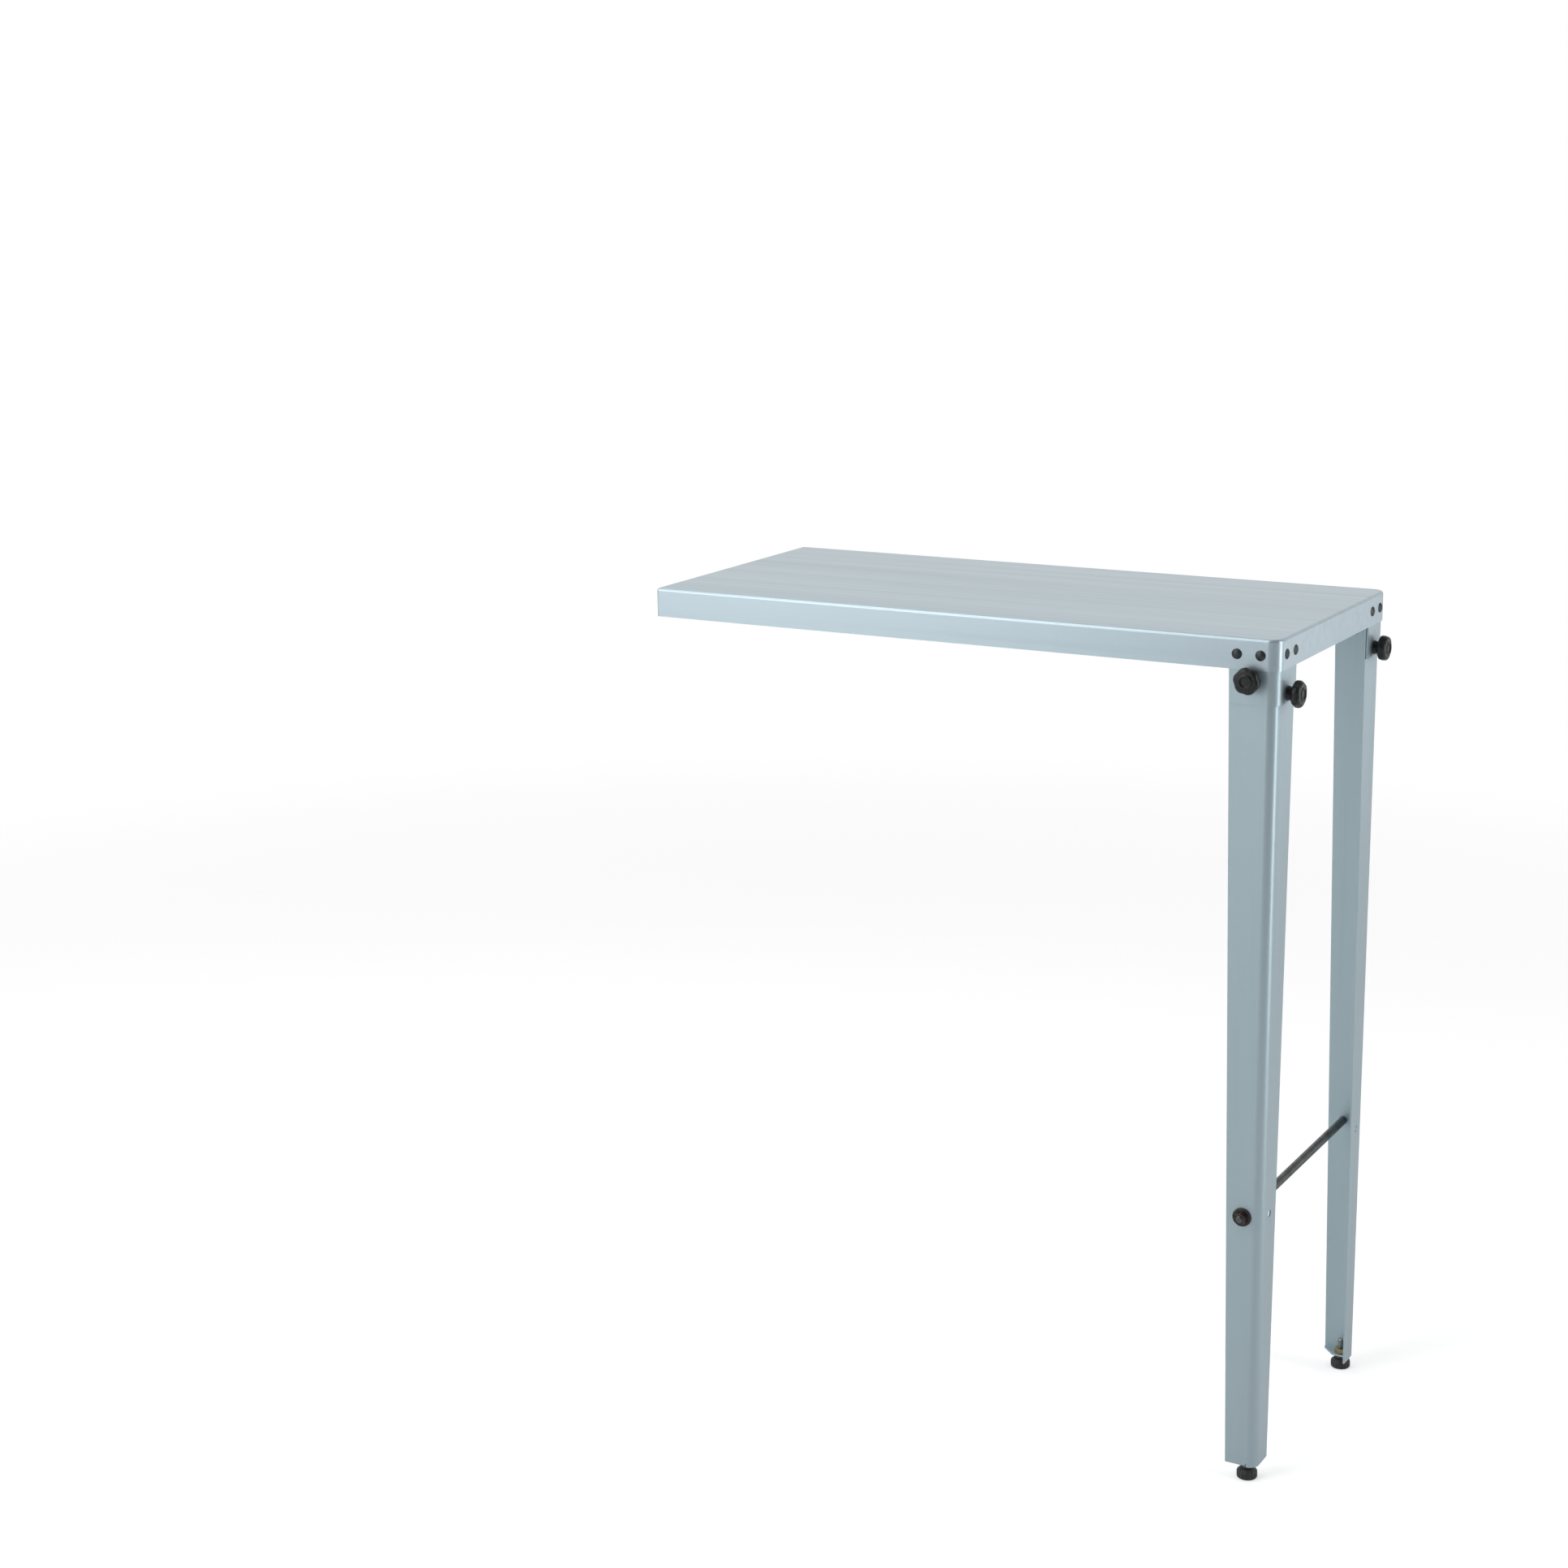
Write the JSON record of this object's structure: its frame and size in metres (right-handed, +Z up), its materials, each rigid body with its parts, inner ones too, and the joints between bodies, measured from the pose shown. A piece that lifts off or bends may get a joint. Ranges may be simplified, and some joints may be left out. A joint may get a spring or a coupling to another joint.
{
  "type": "outfeed table",
  "caption": "Folded sheet-steel outfeed table with angle legs clamped by star knobs, a tie rod and screw feet; its other end bolts to a saw.",
  "frame": {"origin": "middle of the two saw-end bolt holes, on the outer face of the saw-end apron", "axes": "+X along the table from the saw to the legs, +Y towards the rear long side, +Z up"},
  "size_m": [0.7762, 0.3724, 0.95],
  "materials": {
    "top_paint": "satin silver-grey coat with faint streaks along the table",
    "leg_paint": "satin silver-grey coat",
    "black_plastic": "fine-grained moulded black plastic",
    "black_steel": "black oxide with an oily sheen",
    "rivet_steel": "dark burnished domes",
    "zinc_steel": "bright zinc plate",
    "yellow_zinc": "yellow passivated zinc plate",
    "foot_rubber": "dull black rubber"
  },
  "bodies": {
    "table": {"table_top": "top_paint", "front_corner_bracket": "leg_paint", "rear_corner_bracket": "leg_paint", "front_corner_rivets": "rivet_steel", "rear_corner_rivets": "rivet_steel", "clamp_washers": "zinc_steel", "clamp_nuts": "zinc_steel"},
    "leg_frame": {"front_leg": "leg_paint", "rear_leg": "leg_paint", "tie_rod": "black_steel", "tie_rod_washers": "black_steel", "tie_rod_nuts": "black_steel", "foot_lock_nuts": "yellow_zinc"},
    "front_foot": {"front_foot_pad": "foot_rubber", "front_foot_stud": "zinc_steel"},
    "front_face_knob": {"front_face_knob": "black_plastic", "front_face_knob_stud": "zinc_steel"},
    "front_end_knob": {"front_end_knob": "black_plastic", "front_end_knob_stud": "zinc_steel"},
    "rear_foot": {"rear_foot_pad": "foot_rubber", "rear_foot_stud": "zinc_steel"},
    "rear_face_knob": {"rear_face_knob": "black_plastic", "rear_face_knob_stud": "zinc_steel"},
    "rear_end_knob": {"rear_end_knob": "black_plastic", "rear_end_knob_stud": "zinc_steel"}
  },
  "joints": [
    {"name": "leg_height", "type": "slide", "parent": "table", "child": "leg_frame", "axis": [0, 0, 1], "range_m": [-0.015, 0.006]},
    {"name": "front_foot_level", "type": "slide", "parent": "leg_frame", "child": "front_foot", "axis": [0, 0, 1], "range_m": [-0.012, 0.004]},
    {"name": "front_face_knob_turn", "type": "hinge", "parent": "table", "child": "front_face_knob", "pos_m": [0.7284, -0.17, -0.0259], "axis": [0, -1, 0], "continuous": true},
    {"name": "front_end_knob_turn", "type": "hinge", "parent": "table", "child": "front_end_knob", "pos_m": [0.76, -0.1384, -0.0433], "axis": [1, 0, 0], "continuous": true},
    {"name": "rear_foot_level", "type": "slide", "parent": "leg_frame", "child": "rear_foot", "axis": [0, 0, 1], "range_m": [-0.012, 0.004]},
    {"name": "rear_face_knob_turn", "type": "hinge", "parent": "table", "child": "rear_face_knob", "pos_m": [0.7284, 0.17, -0.0259], "axis": [0, 1, 0], "continuous": true},
    {"name": "rear_end_knob_turn", "type": "hinge", "parent": "table", "child": "rear_end_knob", "pos_m": [0.76, 0.1384, -0.0433], "axis": [1, 0, 0], "continuous": true}
  ]
}
